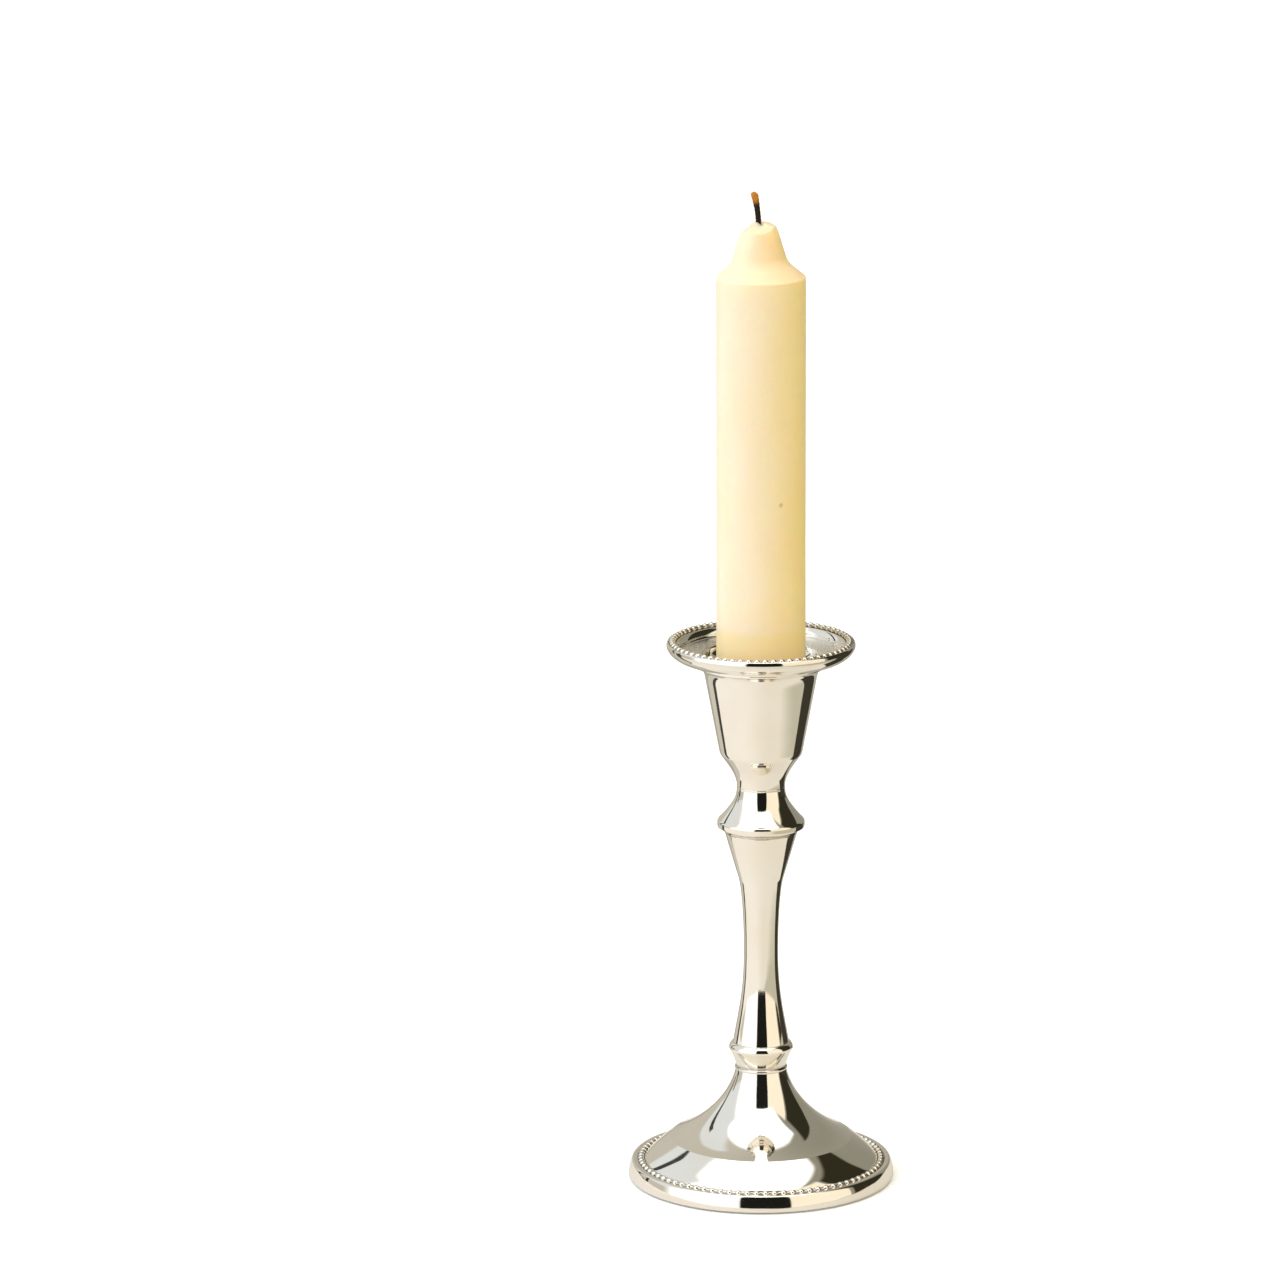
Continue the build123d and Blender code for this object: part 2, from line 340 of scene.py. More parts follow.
def bead_ring(name, ring_radius, height, bead, wire, count, seed):
    """Closed beaded wire: round beads with short necks, each a little uneven.

    bead and wire are the radii of the beads and of the necks between them.
    """
    draw = random.Random(seed)
    unevenness = 0.035
    neck_margin, neck_fade, under_fade = 1.05, 1.8, 1.2
    per_bead, around = 16, 22
    pitch = 2 * math.pi * ring_radius / count
    rings, hollow = [], []
    for index in range(count):
        reach = bead * (1.0 - unevenness * draw.random())
        for step in range(per_bead):
            along = (step / per_bead - 0.5) * pitch
            angle = 2 * math.pi * (index + 0.5 + along / pitch) / count
            inside = reach * reach - along * along
            tube = max(wire, math.sqrt(inside) if inside > 0 else 0.0)
            depth = 1.0
            if tube > wire * neck_margin:
                depth = max(0.0, 1.0 - (tube - wire) / (reach - wire) * neck_fade)
            out = Vector((math.cos(angle), math.sin(angle), 0))
            ring = []
            for j in range(around):
                turn = 2 * math.pi * j / around
                rise = math.sin(turn)
                spot = out * (ring_radius + tube * math.cos(turn))
                ring.append((spot + Vector((0, 0, height + tube * rise))) * MM)
                hollow.append(max(depth, min(1.0, -rise * under_fade)))
            rings.append(ring)
    return ring_mesh(name, rings, True, None, hollow)


# ------------------------------------------------------------------ materials
class Tree:
    """Small wrapper that makes shader nodes and links in one line each."""

    def __init__(self, tree):
        self.tree = tree

    def make(self, kind, **values):
        node = self.tree.nodes.new(kind)
        for key, value in values.items():
            setattr(node, key, value)
        return node

    def link(self, source, target):
        self.tree.links.new(source, target)

    def put(self, socket, value):
        if isinstance(value, bpy.types.NodeSocket):
            self.link(value, socket)
        else:
            socket.default_value = value

    def math(self, operation, a, b=0.0, c=0.0):
        node = self.make("ShaderNodeMath", operation=operation)
        for socket, value in zip(node.inputs, (a, b, c)):
            self.put(socket, value)
        return node.outputs[0]

    def noise(self, vector, scale, detail=2.0, rough=0.5):
        node = self.make("ShaderNodeTexNoise")
        self.put(node.inputs["Vector"], vector)
        node.inputs["Scale"].default_value = scale
        node.inputs["Detail"].default_value = detail
        node.inputs["Roughness"].default_value = rough
        return node.outputs["Fac"]

    def spread(self, value, low, high, out_low=0.0, out_high=1.0):
        """A soft step: out_low below low, out_high above high."""
        node = self.make("ShaderNodeMapRange", interpolation_type="SMOOTHSTEP")
        for socket, item in zip(node.inputs, (value, low, high, out_low, out_high)):
            self.put(socket, item)
        return node.outputs[0]

    def mix(self, factor, a, b, blend="MIX"):
        """Colour a, turning into colour b, or blended with it, by the factor."""
        node = self.make("ShaderNodeMix", data_type="RGBA", blend_type=blend)
        self.put(node.inputs[0], factor)
        self.put(node.inputs[6], a)
        self.put(node.inputs[7], b)
        return node.outputs[2]

    def axes(self, vector):
        """The x, y and z of a vector."""
        node = self.make("ShaderNodeSeparateXYZ")
        self.link(vector, node.inputs[0])
        return tuple(node.outputs)


class Nodes(Tree):
    """Nodes of a new material round its Principled shader."""

    def __init__(self, name):
        self.material = bpy.data.materials.new(name)
        self.material.use_nodes = True
        super().__init__(self.material.node_tree)
        self.shader = self.tree.nodes["Principled BSDF"]

    def set(self, name, value):
        self.put(self.shader.inputs[name], value)

    def bump(self, height, distance, strength=1.0, normal=None):
        node = self.make("ShaderNodeBump")
        node.inputs["Strength"].default_value = strength
        node.inputs["Distance"].default_value = distance
        self.link(height, node.inputs["Height"])
        if normal is not None:
            self.link(normal, node.inputs["Normal"])
        return node.outputs["Normal"]

    def position(self):
        return self.make("ShaderNodeTexCoord").outputs["Object"]

    def stretched(self, vector, x, y, z):
        node = self.make("ShaderNodeMapping")
        self.link(vector, node.inputs["Vector"])
        node.inputs["Scale"].default_value = (x, y, z)
        return node.outputs["Vector"]

    def polar(self, vector):
        """x, y, z and the distance from the turning axis."""
        x, y, z = self.axes(vector)
        radius = self.math("SQRT", self.math("ADD", self.math("MULTIPLY", x, x),
                                             self.math("MULTIPLY", y, y)))
        return x, y, z, radius

    def round_about(self, vector, along, turns):
        """Coordinates that make noise into rings: radius + height scaled by
        along, and the direction round the axis scaled by turns."""
        x, y, z, radius = self.polar(vector)
        safe = self.math("ADD", radius, 1e-5)
        join = self.make("ShaderNodeCombineXYZ")
        reach = self.math("ADD", self.math("MULTIPLY", radius, along),
                          self.math("MULTIPLY", z, along))
        self.link(reach, join.inputs[0])
        self.link(self.math("MULTIPLY", self.math("DIVIDE", x, safe), turns), join.inputs[1])
        self.link(self.math("MULTIPLY", self.math("DIVIDE", y, safe), turns), join.inputs[2])
        return join.outputs[0]


SILVER = (0.955, 0.925, 0.862, 1.0)
SILVER_WARM = (0.925, 0.872, 0.765, 1.0)
TARNISH = (0.300, 0.235, 0.150, 1.0)
WIPE_DULLS = 0.035         # what each adds to the roughness of the plate
FILM_DULLS = 0.26
TARNISH_DULLS = 0.32


def wax_film(n, here, blotch, low, high, rim):
    """Patchy film between two heights and inside the rim's radius, 0 to 1.

    It thins out over the last fraction of a millimetre on every side.
    """
    height, radius = n.polar(here)[2:]
    inside = n.math("MULTIPLY", n.spread(height, low, low + 0.0003),
                    n.spread(height, high - 0.0004, high, 1.0, 0.0))
    inside = n.math("MULTIPLY", inside, n.spread(radius, rim - 0.0004, rim, 1.0, 0.0))
    return n.math("MULTIPLY", inside, n.spread(blotch, 0.2, 0.8, 0.7, 1.0))


def silver(name, dirt=0.65, rough=0.045, waxed_floor=None):
    """Polished silver plate: spun rings, soft ripples, wiping marks, tarnish in hollows.

    waxed_floor is (lowest, highest height, radius) of a floor dulled by old wax.
    """
    n = Nodes(name)
    here = n.position()
    blotch = n.noise(here, 55.0, 3.0, 0.55)
    fine = n.noise(here, 900.0, 3.0, 0.6)
    rings = n.noise(n.round_about(here, 5200.0, 1.4), 1.0, 3.0, 0.55)
    wipes = n.noise(n.stretched(here, 260.0, 900.0, 140.0), 1.0, 4.0, 0.65)
    depth = n.make("ShaderNodeAttribute", attribute_name="hollow").outputs["Fac"]
    uneven = n.math("MULTIPLY", depth, n.spread(fine, 0.25, 0.7, 0.55, 1.0))
    dark = n.math("MULTIPLY", uneven, dirt)
    base = n.mix(n.spread(blotch, 0.35, 0.75), SILVER, SILVER_WARM)
    n.set("Base Color", n.mix(dark, base, TARNISH))
    n.set("Metallic", 1.0)
    dull = n.math("MULTIPLY_ADD", n.spread(wipes, 0.5, 0.78), WIPE_DULLS, rough)
    if waxed_floor:
        dull = n.math("MULTIPLY_ADD", wax_film(n, here, blotch, *waxed_floor), FILM_DULLS, dull)
    n.set("Roughness", n.math("MULTIPLY_ADD", dark, TARNISH_DULLS, dull))
    ripple = n.bump(n.noise(here, 130.0, 1.0, 0.4), 0.00006)
    spun = n.bump(rings, 0.0000016, 1.0, ripple)
    n.link(n.bump(wipes, 0.0000022, 1.0, spun), n.shader.inputs["Normal"])
    return n.material


def steel(name, shade=(0.56, 0.56, 0.57, 1.0), rough=0.32):
    """Zinc-plated steel: spangle, drawn streaks and small dull spots."""
    n = Nodes(name)
    here = n.position()
    spangle = n.noise(here, 420.0, 3.0, 0.6)
    dull = tuple(value * 0.72 for value in shade[:3]) + (1.0,)
    n.set("Base Color", n.mix(n.spread(spangle, 0.4, 0.68), shade, dull))
    n.set("Metallic", 1.0)
    n.set("Roughness", n.spread(n.noise(here, 1500.0, 2.0), 0.3, 0.7, rough, rough + 0.18))
    streaks = n.noise(n.round_about(here, 7000.0, 2.0), 1.0, 2.0)
    n.link(n.bump(streaks, 0.000008), n.shader.inputs["Normal"])
    return n.material


def cast_filler(name):
    """Cement filler: grey-brown, sandy, with pits."""
    n = Nodes(name)
    here = n.position()
    coarse = n.noise(here, 260.0, 5.0, 0.65)
    grain = n.noise(here, 1900.0, 3.0, 0.7)
    body = n.mix(n.spread(coarse, 0.35, 0.7), (0.47, 0.44, 0.40, 1), (0.33, 0.30, 0.26, 1))
    n.set("Base Color", n.mix(n.spread(grain, 0.58, 0.74), body, (0.62, 0.59, 0.54, 1)))
    n.set("Roughness", 0.92)
    n.link(n.bump(n.math("ADD", coarse, grain), 0.0002), n.shader.inputs["Normal"])
    return n.material


def felt(name):
    """Dark green wool felt: matted fibres, lint and a soft sheen."""
    n = Nodes(name)
    here = n.position()
    mat = n.noise(n.stretched(here, 900.0, 2600.0, 1500.0), 1.0, 5.0, 0.7)
    cross = n.noise(n.stretched(here, 2700.0, 800.0, 1500.0), 1.0, 5.0, 0.7)
    fibre = n.math("MAXIMUM", mat, cross)
    patches = n.noise(here, 120.0, 3.0)
    deep = n.mix(n.spread(patches, 0.3, 0.7), (0.020, 0.085, 0.045, 1), (0.032, 0.120, 0.066, 1))
    n.set("Base Color", n.mix(n.spread(fibre, 0.55, 0.78), deep, (0.085, 0.210, 0.125, 1)))
    n.set("Roughness", 0.95)
    n.set("Sheen Weight", 0.35)
    n.set("Sheen Roughness", 0.5)
    n.link(n.bump(fibre, 0.00018), n.shader.inputs["Normal"])
    return n.material


WAX_PALE = (0.985, 0.805, 0.625, 1.0)
WAX_CLOUDY = (0.980, 0.780, 0.565, 1.0)
# painted light: the golden tone of the candle's foot stands in for warm light bounced off the pan
WAX_PAINTED_PAN_GLOW = (0.985, 0.770, 0.460, 1.0)
# painted shade: the shoulder and tip, which face up to the light, get a darker tone
WAX_PAINTED_TIP_SHADE = (0.930, 0.735, 0.530, 1.0)
WAX_SPECK = (0.46, 0.35, 0.20, 1.0)
PAN_GLOW_HEIGHTS = (0.1405, 0.1435)      # metres, where the golden foot, painted warm light from the pan, fades out
TIP_SHADE_HEIGHTS = (0.2285, 0.2310)    # metres, where the darker tone, painted shade on the shoulder and tip, starts


def wax(name):
    """Ivory candle wax: translucent, faint clouding, pits and specks, with a golden foot painted
    as warm light bounced from the pan, and a darker shoulder and tip painted as shade.
    """
    n = Nodes(name)
    here = n.position()
    height = n.axes(here)[2]
    cloud = n.noise(n.stretched(here, 90.0, 90.0, 34.0), 1.0, 3.0, 0.5)
    tone = n.mix(n.spread(cloud, 0.3, 0.72), WAX_PALE, WAX_CLOUDY)
    # painted light: below about 143 mm the wax turns golden, as warm light bounced from the pan;
    # the same tone runs on down inside the socket
    tone = n.mix(n.spread(height, *PAN_GLOW_HEIGHTS, 1.0, 0.0), tone, WAX_PAINTED_PAN_GLOW)
    # painted shade: from just below the shoulder up, the wax is darker
    tone = n.mix(n.spread(height, *TIP_SHADE_HEIGHTS), tone, WAX_PAINTED_TIP_SHADE)
    cells = n.make("ShaderNodeTexVoronoi", feature="F1")
    n.link(here, cells.inputs["Vector"])
    cells.inputs["Scale"].default_value = 150.0
    pit = n.spread(cells.outputs["Distance"], 0.05, 0.11, 1.0, 0.0)
    rare = n.spread(n.noise(here, 70.0, 1.0), 0.57, 0.63)
    specks = n.math("MULTIPLY", pit, rare)
    n.set("Base Color", n.mix(n.math("MULTIPLY", specks, 0.55), tone, WAX_SPECK))
    n.set("Subsurface Weight", 0.85)
    n.shader.inputs["Subsurface Radius"].default_value = (1.0, 0.70, 0.40)
    n.set("Subsurface Scale", 0.0035)
    n.set("Roughness", n.spread(cloud, 0.3, 0.7, 0.42, 0.52))
    n.set("IOR", 1.44)
    n.set("Specular IOR Level", 0.30)
    skin = n.bump(n.noise(n.stretched(here, 240.0, 240.0, 90.0), 1.0, 3.0), 0.00012)
    n.link(n.bump(n.math("SUBTRACT", n.noise(here, 1400.0, 2.0), specks), 0.00004, 1.0, skin),
           n.shader.inputs["Normal"])
    return n.material


def wick(name, char_start, ember_start, top):
    """Cotton wick: waxed cream below, charred above, brown and glowing at the tip.

    The colours change at the given heights, in metres.
    """
    n = Nodes(name)
    here = n.position()
    ragged = n.math("MULTIPLY_ADD", n.noise(here, 1600.0, 3.0), 0.0009, n.axes(here)[2])
    burnt = n.spread(ragged, char_start, char_start + 0.0012)
    ember = n.spread(ragged, ember_start, top)
    strand = n.noise(n.stretched(here, 2400.0, 2400.0, 900.0), 1.0, 4.0, 0.7)
    cotton = n.mix(strand, (0.86, 0.78, 0.58, 1), (0.70, 0.58, 0.38, 1))
    char = n.mix(strand, (0.008, 0.005, 0.004, 1), (0.035, 0.022, 0.014, 1))
    ash = n.mix(strand, (0.16, 0.060, 0.010, 1), (0.50, 0.21, 0.045, 1))
    n.set("Base Color", n.mix(ember, n.mix(burnt, cotton, char), ash))
    n.set("Roughness", 0.9)
    n.set("Specular IOR Level", 0.1)
    n.set("Emission Color", n.mix(strand, (0.50, 0.13, 0.01, 1), (1.0, 0.42, 0.06, 1)))
    n.set("Emission Strength", n.math("MULTIPLY", ember, 0.15))
    n.link(n.bump(strand, 0.00012), n.shader.inputs["Normal"])
    return n.material


plate_silver = silver("silver_plate")
pan_silver = silver("silver_pan", waxed_floor=(0.1345, 0.1360, 0.0199))
bead_silver = silver("silver_beads", dirt=0.7, rough=0.055)
foot_bead_silver = silver("silver_foot_beads", dirt=0.35, rough=0.16)
zinc = steel("zinc_steel")
dark_steel = steel("dark_steel", (0.40, 0.40, 0.42, 1.0), 0.4)
filler = cast_filler("filler")
green_felt = felt("green_felt")

# ---------------------------------------------------------------- dimensions
# Millimetres, as in part.py, but the flange is a hair smaller, so that the
# visual model stays inside the CAD model's box.
HEM_RADIUS = 30.9
FOOT_LIFT = 0.4
FLANGE_RADIUS = 33.29
FLANGE_HEIGHT = 1.5
LEDGE_HEIGHT = 4.65
FOOT_SHEET = 0.9
TRUMPET_TOP = (6.35, 28.2)

FOOT_BEADS = 84
FOOT_BEAD_RING = 30.2
FOOT_BEAD_HEIGHT = 4.5
FOOT_BEAD_WIRE = 0.5
BEAD_RADIUS = 0.85
CHANNEL_HALF = BEAD_RADIUS + 0.05      # half the width of the channel for the beads

ROD_BORE = 2.7
COLLAR_BOTTOM = TRUMPET_TOP[1]
COLLAR_EDGE = 8.0
COLLAR_TOP = 35.2
STEM_SHEET = 0.95
STEM_FOOT = 7.0
STEM_TOP = (9.1, 89.6)
KNOP_RADIUS = 10.9
NECK_RADIUS = 6.0
NECK_HEIGHT = 101.3
SPIGOT_RADIUS = 4.0
SPIGOT_TOP = 103.1
SPIGOT_GAP = 0.1
CUP_FLOOR = 109.5
CUP_WALL = 0.75
CUP_BRIM = (13.85, 128.9)
CUP_LIP = (16.9, 132.95)

PAN_MOUTH = 14.6
PAN_BOTTOM = 133.0
PAN_RIM = 23.45
PAN_CHANNEL = 137.05
PAN_BEADS = 68
PAN_BEAD_RING = 22.0
PAN_BEAD_WIRE = 0.52
SLEEVE_BORE = 11.28
SLEEVE_RADIUS = 11.75
SLEEVE_BOTTOM = 123.6
SLEEVE_FLOOR = 124.3
SLEEVE_HOLE = 8.6
SLEEVE_TOP = 135.25

CANDLE_RADIUS = 11.1
CANDLE_BOTTOM = 124.35
CANDLE_SHOULDER = 229.55
CANDLE_TIP = 244.2
CANDLE_BEVEL = 0.4
WICK_HOLE = 0.9
FELT_RADIUS = 30.7
FELT_THICKNESS = 1.3
FELT_BEVEL = 0.3
FELT_PRESSED = 0.9                   # below this height the felt is uneven

# ----------------------------------------------------------------- foot
skirt_run = [
    (HEM_RADIUS, FOOT_LIFT), [(FLANGE_RADIUS - 0.49, FOOT_LIFT)],
    [(FLANGE_RADIUS, FOOT_LIFT), (FLANGE_RADIUS, FOOT_LIFT + 0.5)],
    [(FLANGE_RADIUS, FLANGE_HEIGHT)], [(33.05, 3.1), (32.62, 4.15)],
]
trumpet_run = [[(27.6, 6.95), (22.8, 10.5)], [(14.75, 13.94), (7.75, 20.9), TRUMPET_TOP]]
channel_floor = FOOT_BEAD_HEIGHT - BEAD_RADIUS
foot_outside = skirt_run + [
    [(32.45, LEDGE_HEIGHT - 0.1), (32.05, LEDGE_HEIGHT)],
    [(FOOT_BEAD_RING + CHANNEL_HALF, LEDGE_HEIGHT)],
    [(FOOT_BEAD_RING + CHANNEL_HALF, channel_floor)],
    [(FOOT_BEAD_RING - CHANNEL_HALF, channel_floor)],
    [(FOOT_BEAD_RING - CHANNEL_HALF, 4.75)], [(29.2, 4.9)],
] + trumpet_run
foot_guide = skirt_run + [
    [(31.7, channel_floor)], [(29.5, channel_floor)], [(28.9, channel_floor + 1.2)],
] + trumpet_run
foot_track = joined(foot_outside, inset(foot_guide, FOOT_SHEET))
foot_mesh = lathe("foot", foot_track, segments=420)
place("foot", foot_mesh, "stand", plate_silver, "silver", "foot_shell")
foot_bead_mesh = bead_ring(
    "foot_bead_ring", FOOT_BEAD_RING, FOOT_BEAD_HEIGHT, BEAD_RADIUS, FOOT_BEAD_WIRE,
    FOOT_BEADS, seed=3)
place("foot_bead_ring", foot_bead_mesh, "stand", foot_bead_silver, "silver_beads", "foot_beads")

# ----------------------------------------------------------------- stem
collar_track = [
    (ROD_BORE, COLLAR_BOTTOM - 2.2), [(5.2, COLLAR_BOTTOM - 2.2)], [(5.2, COLLAR_BOTTOM)],
    [(6.45, COLLAR_BOTTOM)], [(6.75, COLLAR_BOTTOM + 0.35), (6.45, COLLAR_BOTTOM + 0.7)],
    [(6.25, COLLAR_BOTTOM + 0.9)], [(6.95, 31.7), (COLLAR_EDGE, 33.5)], [(COLLAR_EDGE, 33.95)],
    [(7.75, 34.8), (STEM_FOOT + 0.1, COLLAR_TOP)], [(ROD_BORE, COLLAR_TOP)],
]
place("collar", lathe("collar", collar_track), "stand", plate_silver, "silver", "stem_collar")

stem_outside = [
    (STEM_FOOT, COLLAR_TOP), [(5.9, 42.0), (4.35, 47.5), (4.3, 58.0)],
    [(4.25, 66.5), (4.8, 75.0), (5.65, 77.8)], [STEM_TOP],
]
stem_inside = inset(stem_outside, STEM_SHEET)
stem_inside[0] = (STEM_FOOT - STEM_SHEET, COLLAR_TOP)
stem_inside[-1] = [(STEM_TOP[0] - STEM_SHEET, STEM_TOP[1])]
stem_track = joined(stem_outside, stem_inside)
place("stem_tube", lathe("stem_tube", stem_track), "stand", plate_silver, "silver", "stem")

knop_track = [
    (ROD_BORE, STEM_TOP[1] - 1.6), [(7.2, STEM_TOP[1] - 1.6)], [(7.5, STEM_TOP[1])],
    [(8.95, STEM_TOP[1])], [(8.95, 90.15)], [(9.6, 90.25), (KNOP_RADIUS - 0.1, 90.95)],
    [(KNOP_RADIUS, 91.15), (KNOP_RADIUS, 91.5)], [(KNOP_RADIUS, 92.2)],
    [(KNOP_RADIUS - 0.05, 92.55), (KNOP_RADIUS - 0.35, 92.85)],
    [(9.5, 93.9), (8.3, 95.4), (7.45, 96.6)],
    [(6.6, 97.8), (NECK_RADIUS, 99.2), (NECK_RADIUS, NECK_HEIGHT)],
    [(SPIGOT_RADIUS, NECK_HEIGHT)], [(SPIGOT_RADIUS, SPIGOT_TOP)], [(ROD_BORE, SPIGOT_TOP)],
]
place("knop_ring", lathe("knop_ring", knop_track), "stand", plate_silver, "silver", "knop")

cup_track = [
    (ROD_BORE, SPIGOT_TOP + SPIGOT_GAP), [(SPIGOT_RADIUS + SPIGOT_GAP, SPIGOT_TOP + SPIGOT_GAP)],
    [(SPIGOT_RADIUS + SPIGOT_GAP, NECK_HEIGHT)], [(NECK_RADIUS, NECK_HEIGHT)],
    [(NECK_RADIUS, 104.3), (8.6, 107.4), (10.0, 109.4)], [(10.3, 109.9), (10.45, 110.8)],
    [CUP_BRIM], [(14.3, 131.4), (15.0, 132.1), (CUP_LIP[0] - 0.2, 132.45)],
    [(CUP_LIP[0] + 0.05, 132.6), CUP_LIP], [(15.6, CUP_LIP[1])],
    [(13.9, 132.2), (CUP_BRIM[0] - CUP_WALL, CUP_BRIM[1])], [(9.75, 111.4)],
    [(9.6, CUP_FLOOR), (8.5, CUP_FLOOR)], [(ROD_BORE, CUP_FLOOR)],
]
place("cup", lathe("cup", cup_track), "stand", plate_silver, "silver", "candle_cup")

# --------------------------------------------------------------- nozzle
pan_track = [
    (PAN_MOUTH, PAN_BOTTOM - 0.25), [(PAN_MOUTH + 0.15, PAN_BOTTOM - 0.25)],
    [(15.3, PAN_BOTTOM)], [(17.1, PAN_BOTTOM)], [(20.7, 134.15)],
    [(22.45, 135.0), (23.1, 136.2)], [(PAN_RIM, 136.7), (PAN_RIM, 137.2)],
    [(PAN_RIM, 138.0), (PAN_RIM - 0.4, 138.2)], [(PAN_BEAD_RING + CHANNEL_HALF, 138.0)],
    [(PAN_BEAD_RING + CHANNEL_HALF, PAN_CHANNEL)], [(PAN_BEAD_RING - CHANNEL_HALF, PAN_CHANNEL)],
    [(PAN_BEAD_RING - CHANNEL_HALF, 137.6)], [(20.9, 137.75), (20.55, 137.45)],
    [(19.95, 136.9), (19.75, 136.35)], [(19.75, 136.05)], [(19.65, 135.65), (19.3, 135.5)],
    [(17.3, 135.15), (PAN_MOUTH, 135.02)],
]
place("pan", lathe("pan", pan_track, segments=400), "nozzle", pan_silver, "silver", "drip_pan")
pan_bead_mesh = bead_ring(
    "pan_bead_ring", PAN_BEAD_RING, PAN_CHANNEL + BEAD_RADIUS, BEAD_RADIUS, PAN_BEAD_WIRE,
    PAN_BEADS, seed=5)
place("pan_bead_ring", pan_bead_mesh, "nozzle", bead_silver, "silver_beads", "pan_beads")

sleeve_track = [
    (SLEEVE_HOLE, SLEEVE_BOTTOM), [(11.2, SLEEVE_BOTTOM)],
    [(SLEEVE_RADIUS, SLEEVE_BOTTOM), (SLEEVE_RADIUS, 124.2)], [(SLEEVE_RADIUS, 129.6)],
    [(SLEEVE_RADIUS, 131.6), (14.0, 131.8), (PAN_MOUTH, 133.05)], [(PAN_MOUTH, 134.95)],
    [(14.5, SLEEVE_TOP), (14.2, SLEEVE_TOP)], [(13.85, SLEEVE_TOP), (13.7, 134.8)],
    [(13.4, 132.6), (SLEEVE_BORE, 132.3), (SLEEVE_BORE, 129.8)],
    [(SLEEVE_BORE, SLEEVE_FLOOR)], [(SLEEVE_HOLE, SLEEVE_FLOOR)],
]
place("sleeve", lathe("sleeve", sleeve_track), "nozzle", plate_silver, "silver", "nozzle_sleeve")

# --------------------------------------------------------------- candle
FREE_WALL = 136.0          # above this height the wall stands clear of the nozzle
LEAN_BOTTOM = 231.5        # the tip leans from here, fully after LEAN_RISE
LEAN_RISE = 3.0
TIP_LEAN = 0.40
CUT_BOTTOM = 236.0         # the lopsided cut reaches down no further than this
CUT_MIDDLE = -0.86         # sideways place of the wick in the cut
POOL_DEPTH = 0.45          # a ring-shaped pool of melted wax round the wick
POOL_RADIUS = 1.5
POOL_WIDTH = 0.55
WALL_ROWS = 40             # rows of points up the wall, for it to be uneven


def melted(point):
    """Slightly uneven wax wall, and a lopsided melted tip."""
    x, y, z = point
    wave = noise.noise(Vector((x * 0.09, y * 0.09, z * 0.045)))
    small = noise.noise(Vector((x * 0.5 + 9.0, y * 0.5, z * 0.3)))
    radius = math.hypot(x, y)
    if radius > 2.0 and z > FREE_WALL:
        shrink = 1.0 - (0.006 + 0.005 * wave + 0.0015 * small)
        x, y = x * shrink, y * shrink
    if radius > 1.5 and z > LEAN_BOTTOM:
        x -= TIP_LEAN * min(1.0, (z - LEAN_BOTTOM) / LEAN_RISE)
    if z > CUT_BOTTOM:
        across = x - CUT_MIDDLE
        right = 243.75 - 0.33 * across + 0.12 * small
        left = 243.60 + 0.80 * across + 0.15 * small
        front = 243.70 + 0.55 * y + 0.12 * small
        rear = 243.90 - 0.30 * y
        from_ring = math.hypot(across, y) - POOL_RADIUS
        pool = POOL_DEPTH * math.exp(-(from_ring / POOL_WIDTH) ** 2)
        z = min(z, min(right, left, front, rear) - pool)
    return Vector((x, y, z))


wall_bottom = CANDLE_BOTTOM + CANDLE_BEVEL
wall_height = CANDLE_SHOULDER - wall_bottom
wax_track = [(WICK_HOLE, CANDLE_BOTTOM), [(CANDLE_RADIUS - CANDLE_BEVEL, CANDLE_BOTTOM)]]
wax_track += [[(CANDLE_RADIUS, wall_bottom + wall_height * row / WALL_ROWS)]
              for row in range(WALL_ROWS + 1)]
wax_track += [
    [(10.95, 229.9)], [(7.9, 232.5)], [(7.05, 233.3), (6.55, 234.9)], [(5.6, 238.2), (4.7, 240.8)],
    [(4.2, 242.2), (3.7, 243.4)], [(3.35, 244.0)], [(2.8, 244.1)], [(2.3, 244.15)],
    [(1.8, 244.15)], [(1.3, CANDLE_TIP)], [(WICK_HOLE, CANDLE_TIP)],
]
wax_mesh = lathe("candle", wax_track, segments=300, ease=0.15, fineness=8.0, shape=melted)
place("candle", wax_mesh, "candle", wax("ivory_wax"), "wax", "candle_wax")


def wick_mesh(name):
    """Braided wick: strands wound both ways, leaning over, thicker at the burnt tip."""
    start, leave, end = 125.4, 243.0, 250.85     # leave is where it comes out of the wax
    aside, bend_height = -0.6, 12.0              # shift where it leaves, and the rise to it
    lean, forward = -1.15, 0.18                  # further shift at the tip
    slim, swelling, swell_from = 0.72, 0.30, 0.45
    round_from = 0.985                           # the tip is rounded off after this share
    strand_turns, strand_rise = 1.5, 2.1
    steps, around = 260, 30
    rings = []
    for index in range(steps + 1):
        t = index / steps
        height = start + (end - start) * t ** 0.35
        lift = max(0.0, height - leave) / (end - leave)
        centre = Vector((aside + lean * lift ** 1.6, forward * lift, height))
        if height < leave:
            centre.x = aside * max(0.0, 1 - (leave - height) / bend_height)
        swell = slim + swelling * max(0.0, lift - swell_from) / (1.0 - swell_from)
        if t > round_from:
            swell *= math.sqrt(max(0.02, (1.0 - t) / (1.0 - round_from)))
        ring = []
        for j in range(around):
            turn = 2 * math.pi * j / around
            braid = abs(math.sin(strand_turns * (turn - height * strand_rise))) ** 0.6
            counter = abs(math.sin(strand_turns * (turn + height * strand_rise))) ** 0.6
            radius = swell * (0.80 + 0.20 * max(braid, counter))
            spot = centre + Vector((radius * math.cos(turn), radius * math.sin(turn), 0))
            ring.append(spot * MM)
        rings.append(ring)
    mesh = ring_mesh(name, rings, False)
    close_ends(mesh)
    return mesh


wick_material = wick("wick_cotton", char_start=0.2425, ember_start=0.2478, top=0.2496)
place("wick", wick_mesh("wick"), "candle", wick_material, "wick", "candle_wick")


